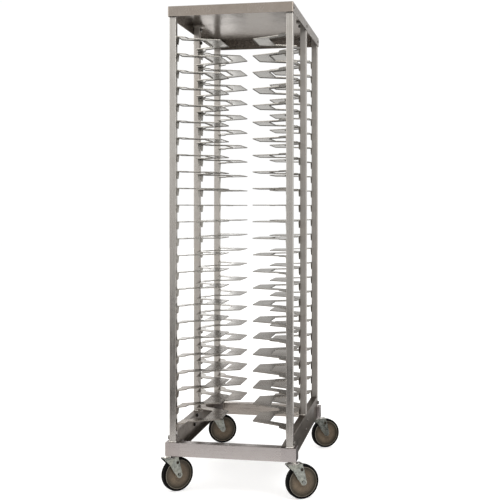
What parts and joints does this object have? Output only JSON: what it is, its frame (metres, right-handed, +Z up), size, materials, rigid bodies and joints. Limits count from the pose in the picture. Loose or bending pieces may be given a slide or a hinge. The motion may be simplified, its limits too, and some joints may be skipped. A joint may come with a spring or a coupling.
{
  "type": "mobile pan rack",
  "caption": "Tall open stainless rack on swivel casters, with a flat top cover and facing pairs of bent wing slides that hold pans loaded from either end.",
  "frame": {"origin": "on the floor, under the middle of the whole footprint with the casters as they stand", "axes": "+X to the rack's right seen from the front, +Y to its rear, +Z up"},
  "size_m": [0.5926, 0.8503, 1.827],
  "materials": {
    "post_steel": "brushed lengthwise, satin",
    "cover_steel": "mill-polished sheet, satin with broad soft mottling",
    "base_steel": "brushed lengthwise, satin",
    "block_steel": "brushed, ground at the welds",
    "slide_steel": "satin sheet",
    "fastener_zinc": "plated, slightly dull",
    "race_zinc": "bright zinc plated, pressed",
    "caster_zinc": "bright zinc plated, pressed",
    "axle_steel": "plated, turned",
    "wheel_core": "moulded, semi-matte",
    "wheel_tread": "smooth rubber, matte"
  },
  "bodies": {
    "rack": {"front_left_post": "post_steel", "mid_left_post": "post_steel", "rear_left_post": "post_steel", "front_right_post": "post_steel", "mid_right_post": "post_steel", "rear_right_post": "post_steel", "top_cover": "cover_steel", "front_rail": "base_steel", "rear_rail": "base_steel", "left_side_rail": "base_steel", "right_side_rail": "base_steel", "front_left_corner_block": "block_steel", "rear_left_corner_block": "block_steel", "front_right_corner_block": "block_steel", "rear_right_corner_block": "block_steel", "corner_gussets": "base_steel", "slide_level_01": "slide_steel", "slide_level_02": "slide_steel", "slide_level_03": "slide_steel", "slide_level_04": "slide_steel", "slide_level_05": "slide_steel", "slide_level_06": "slide_steel", "slide_level_07": "slide_steel", "slide_level_08": "slide_steel", "slide_level_09": "slide_steel", "slide_level_10": "slide_steel", "slide_level_11": "slide_steel", "slide_level_12": "slide_steel", "slide_level_13": "slide_steel", "slide_level_14": "slide_steel", "slide_level_15": "slide_steel", "slide_level_16": "slide_steel", "slide_level_17": "slide_steel", "slide_level_18": "slide_steel", "slide_level_19": "slide_steel", "slide_level_20": "slide_steel", "slide_level_21": "slide_steel", "slide_level_22": "slide_steel", "slide_level_23": "slide_steel", "slide_level_24": "slide_steel", "hex_bolts": "fastener_zinc", "low_head_bolts": "fastener_zinc", "hex_nuts": "fastener_zinc", "caster_stems": "race_zinc"},
    "front_left_fork": {"front_left_caster_fork": "caster_zinc", "front_left_caster_axle": "axle_steel"},
    "front_left_wheel": {"front_left_wheel_core": "wheel_core", "front_left_wheel_tread": "wheel_tread"},
    "front_right_fork": {"front_right_caster_fork": "caster_zinc", "front_right_caster_axle": "axle_steel"},
    "front_right_wheel": {"front_right_wheel_core": "wheel_core", "front_right_wheel_tread": "wheel_tread"},
    "rear_left_fork": {"rear_left_caster_fork": "caster_zinc", "rear_left_caster_axle": "axle_steel"},
    "rear_left_wheel": {"rear_left_wheel_core": "wheel_core", "rear_left_wheel_tread": "wheel_tread"},
    "rear_right_fork": {"rear_right_caster_fork": "caster_zinc", "rear_right_caster_axle": "axle_steel"},
    "rear_right_wheel": {"rear_right_wheel_core": "wheel_core", "rear_right_wheel_tread": "wheel_tread"}
  },
  "joints": [
    {"name": "front_left_swivel", "type": "hinge", "parent": "rack", "child": "front_left_fork", "pos_m": [-0.266, -0.396, 0.13], "axis": [0, 0, 1], "continuous": true},
    {"name": "front_left_wheel_spin", "type": "hinge", "parent": "front_left_fork", "child": "front_left_wheel", "pos_m": [-0.24082, -0.37169, 0.0635], "axis": [0.6947, -0.7193, 0], "continuous": true},
    {"name": "front_right_swivel", "type": "hinge", "parent": "rack", "child": "front_right_fork", "pos_m": [0.206, -0.396, 0.13], "axis": [0, 0, 1], "continuous": true},
    {"name": "front_right_wheel_spin", "type": "hinge", "parent": "front_right_fork", "child": "front_right_wheel", "pos_m": [0.23568, -0.37745, 0.0635], "axis": [0.5299, -0.848, 0], "continuous": true},
    {"name": "rear_left_swivel", "type": "hinge", "parent": "rack", "child": "rear_left_fork", "pos_m": [-0.266, 0.364, 0.13], "axis": [0, 0, 1], "continuous": true},
    {"name": "rear_left_wheel_spin", "type": "hinge", "parent": "rear_left_fork", "child": "rear_left_wheel", "pos_m": [-0.23311, 0.37597, 0.0635], "axis": [0.342, -0.9397, 0], "continuous": true},
    {"name": "rear_right_swivel", "type": "hinge", "parent": "rack", "child": "rear_right_fork", "pos_m": [0.206, 0.364, 0.13], "axis": [0, 0, 1], "continuous": true},
    {"name": "rear_right_wheel_spin", "type": "hinge", "parent": "rear_right_fork", "child": "rear_right_wheel", "pos_m": [0.236, 0.38203, 0.0635], "axis": [0.515, -0.8572, 0], "continuous": true}
  ]
}
